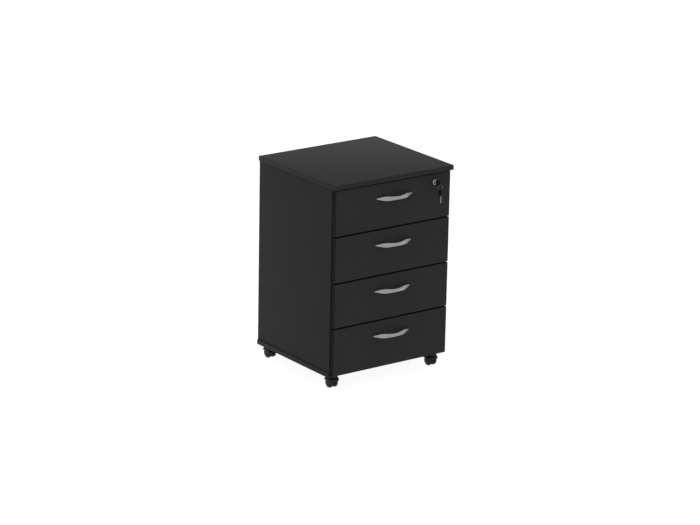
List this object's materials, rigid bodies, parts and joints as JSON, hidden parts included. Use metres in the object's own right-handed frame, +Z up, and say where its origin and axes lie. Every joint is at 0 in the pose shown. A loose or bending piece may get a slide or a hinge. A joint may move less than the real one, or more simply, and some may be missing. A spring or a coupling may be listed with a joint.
{
  "type": "rolling pedestal cabinet",
  "caption": "Low box-shaped office pedestal on twin-wheel swivel castors, with stacked board-fronted drawers, waisted bow handles and a keyed lock in the top drawer.",
  "frame": {"origin": "on the floor under the middle of the overall box, which includes the handles and keys", "axes": "+Z up, +Y towards the back panel, so the drawers open towards -Y, +X to the right as seen from the drawers"},
  "size_m": [0.468, 0.4576, 0.685],
  "materials": {
    "board": "black melamine-faced board, fine texture, satin",
    "handle": "satin silver",
    "tray": "black powder coat, satin",
    "runner": "black epoxy coat with pale rollers",
    "lock": "bright nickel",
    "key": "black plastic head on a nickelled blade",
    "castor": "black nylon, satin",
    "axle": "zinc plated"
  },
  "bodies": {
    "carcass": {"top_panel": "board", "base_panel": "board", "side_panel_left": "board", "side_panel_right": "board", "back_panel": "board", "cabinet_runner_1_left": "runner", "cabinet_runner_1_right": "runner", "cabinet_runner_2_left": "runner", "cabinet_runner_2_right": "runner", "cabinet_runner_3_left": "runner", "cabinet_runner_3_right": "runner", "cabinet_runner_4_left": "runner", "cabinet_runner_4_right": "runner", "castor_plate_front_left": "axle", "castor_plate_front_right": "axle", "castor_plate_rear_left": "axle", "castor_plate_rear_right": "axle", "lock_bar_guide": "runner"},
    "drawer_1": {"drawer_front_1": "board", "handle_1": "handle", "drawer_tray_1": "tray", "drawer_runner_1_left": "runner", "drawer_runner_1_right": "runner", "lock_housing": "lock"},
    "drawer_2": {"drawer_front_2": "board", "handle_2": "handle", "drawer_tray_2": "tray", "drawer_runner_2_left": "runner", "drawer_runner_2_right": "runner"},
    "drawer_3": {"drawer_front_3": "board", "handle_3": "handle", "drawer_tray_3": "tray", "drawer_runner_3_left": "runner", "drawer_runner_3_right": "runner"},
    "drawer_4": {"drawer_front_4": "board", "handle_4": "handle", "drawer_tray_4": "tray", "drawer_runner_4_left": "runner", "drawer_runner_4_right": "runner"},
    "lock_core": {"lock_plug": "lock", "key": "key"},
    "key_ring": {"key_ring": "lock"},
    "spare_key": {"spare_key": "key"},
    "lock_bar": {"lock_bar": "runner"},
    "castor_front_left": {"castor_body_front_left": "castor", "castor_axle_front_left": "axle"},
    "wheel_front_left_left": {"castor_wheel_front_left_left": "castor"},
    "wheel_front_left_right": {"castor_wheel_front_left_right": "castor"},
    "castor_front_right": {"castor_body_front_right": "castor", "castor_axle_front_right": "axle"},
    "wheel_front_right_left": {"castor_wheel_front_right_left": "castor"},
    "wheel_front_right_right": {"castor_wheel_front_right_right": "castor"},
    "castor_rear_left": {"castor_body_rear_left": "castor", "castor_axle_rear_left": "axle"},
    "wheel_rear_left_left": {"castor_wheel_rear_left_left": "castor"},
    "wheel_rear_left_right": {"castor_wheel_rear_left_right": "castor"},
    "castor_rear_right": {"castor_body_rear_right": "castor", "castor_axle_rear_right": "axle"},
    "wheel_rear_right_left": {"castor_wheel_rear_right_left": "castor"},
    "wheel_rear_right_right": {"castor_wheel_rear_right_right": "castor"}
  },
  "joints": [
    {"name": "drawer_1_slide", "type": "slide", "parent": "carcass", "child": "drawer_1", "axis": [0, -1, 0], "range_m": [0, 0.3]},
    {"name": "drawer_2_slide", "type": "slide", "parent": "carcass", "child": "drawer_2", "axis": [0, -1, 0], "range_m": [0, 0.3]},
    {"name": "drawer_3_slide", "type": "slide", "parent": "carcass", "child": "drawer_3", "axis": [0, -1, 0], "range_m": [0, 0.3]},
    {"name": "drawer_4_slide", "type": "slide", "parent": "carcass", "child": "drawer_4", "axis": [0, -1, 0], "range_m": [0, 0.3]},
    {"name": "lock_turn", "type": "hinge", "parent": "drawer_1", "child": "lock_core", "pos_m": [0.163, -0.18825, 0.6375], "axis": [0, 1, 0], "range_deg": [0, 90]},
    {"name": "lock_bar_slide", "type": "slide", "parent": "carcass", "child": "lock_bar", "axis": [0, 0, 1], "range_m": [0, 0.00848]},
    {"name": "key_ring_swing", "type": "hinge", "parent": "lock_core", "child": "key_ring", "pos_m": [0.163, -0.21875, 0.6358], "axis": [1, 0, 0], "range_deg": [-45, 12]},
    {"name": "spare_key_swing", "type": "hinge", "parent": "key_ring", "child": "spare_key", "pos_m": [0.163, -0.21875, 0.6198], "axis": [1, 0, 0], "range_deg": [-25, 12]},
    {"name": "castor_front_left_swivel", "type": "hinge", "parent": "carcass", "child": "castor_front_left", "pos_m": [-0.199, -0.15125, 0.03], "axis": [0, 0, 1], "continuous": true},
    {"name": "wheel_front_left_left_roll", "type": "hinge", "parent": "castor_front_left", "child": "wheel_front_left_left", "pos_m": [-0.199, -0.14525, 0.017], "axis": [1, 0, 0], "continuous": true},
    {"name": "wheel_front_left_right_roll", "type": "hinge", "parent": "castor_front_left", "child": "wheel_front_left_right", "pos_m": [-0.199, -0.14525, 0.017], "axis": [1, 0, 0], "continuous": true},
    {"name": "castor_front_right_swivel", "type": "hinge", "parent": "carcass", "child": "castor_front_right", "pos_m": [0.199, -0.15125, 0.03], "axis": [0, 0, 1], "continuous": true},
    {"name": "wheel_front_right_left_roll", "type": "hinge", "parent": "castor_front_right", "child": "wheel_front_right_left", "pos_m": [0.199, -0.14525, 0.017], "axis": [1, 0, 0], "continuous": true},
    {"name": "wheel_front_right_right_roll", "type": "hinge", "parent": "castor_front_right", "child": "wheel_front_right_right", "pos_m": [0.199, -0.14525, 0.017], "axis": [1, 0, 0], "continuous": true},
    {"name": "castor_rear_left_swivel", "type": "hinge", "parent": "carcass", "child": "castor_rear_left", "pos_m": [-0.199, 0.20775, 0.03], "axis": [0, 0, 1], "continuous": true},
    {"name": "wheel_rear_left_left_roll", "type": "hinge", "parent": "castor_rear_left", "child": "wheel_rear_left_left", "pos_m": [-0.199, 0.20175, 0.017], "axis": [1, 0, 0], "continuous": true},
    {"name": "wheel_rear_left_right_roll", "type": "hinge", "parent": "castor_rear_left", "child": "wheel_rear_left_right", "pos_m": [-0.199, 0.20175, 0.017], "axis": [1, 0, 0], "continuous": true},
    {"name": "castor_rear_right_swivel", "type": "hinge", "parent": "carcass", "child": "castor_rear_right", "pos_m": [0.199, 0.20775, 0.03], "axis": [0, 0, 1], "continuous": true},
    {"name": "wheel_rear_right_left_roll", "type": "hinge", "parent": "castor_rear_right", "child": "wheel_rear_right_left", "pos_m": [0.199, 0.20175, 0.017], "axis": [1, 0, 0], "continuous": true},
    {"name": "wheel_rear_right_right_roll", "type": "hinge", "parent": "castor_rear_right", "child": "wheel_rear_right_right", "pos_m": [0.199, 0.20175, 0.017], "axis": [1, 0, 0], "continuous": true}
  ],
  "couplings": [
    {"joint": "lock_turn", "follows": "lock_bar_slide", "rad_per_m": 185.12}
  ]
}
